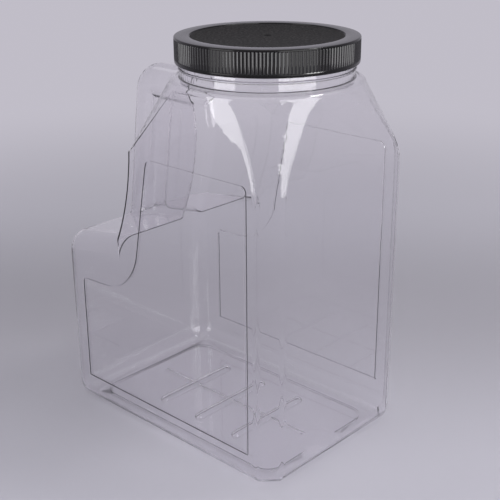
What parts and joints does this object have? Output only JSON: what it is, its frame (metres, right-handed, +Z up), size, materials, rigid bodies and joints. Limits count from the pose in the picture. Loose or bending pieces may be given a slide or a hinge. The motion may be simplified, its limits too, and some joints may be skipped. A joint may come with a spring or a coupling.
{
  "type": "grip jar with screw cap",
  "caption": "Clear rectangular blow-moulded food jar with a pinched-in hand grip at one end and a wide black ribbed screw cap.",
  "frame": {"origin": "centre of the rectangular footprint, on the plane that the jar stands on", "axes": "+Z up, +X towards the plain end, with the grip at the -X end; Y across the two label sides"},
  "size_m": [0.213, 0.145, 0.2898],
  "materials": {
    "clear_pet": "clear, glossy, thin-walled PET",
    "black_cap": "black polypropylene, glossy rim and ribs, fine matte texture on the recessed top",
    "foam_liner": "white foam, satin"
  },
  "bodies": {
    "jar": {"jar": "clear_pet"},
    "liner": {"liner": "foam_liner"},
    "cap": {"cap": "black_cap"}
  },
  "joints": [
    {"name": "cap_lift", "type": "slide", "parent": "jar", "child": "liner", "axis": [0, 0, 1], "range_m": [0, 0.03]},
    {"name": "cap_turn", "type": "hinge", "parent": "liner", "child": "cap", "pos_m": [0.038, 0, 0.28], "axis": [0, 0, 1], "range_deg": [0, 2124]}
  ],
  "couplings": [
    {"joint": "cap_lift", "follows": "cap_turn", "m_per_rad": 0.00080851}
  ]
}
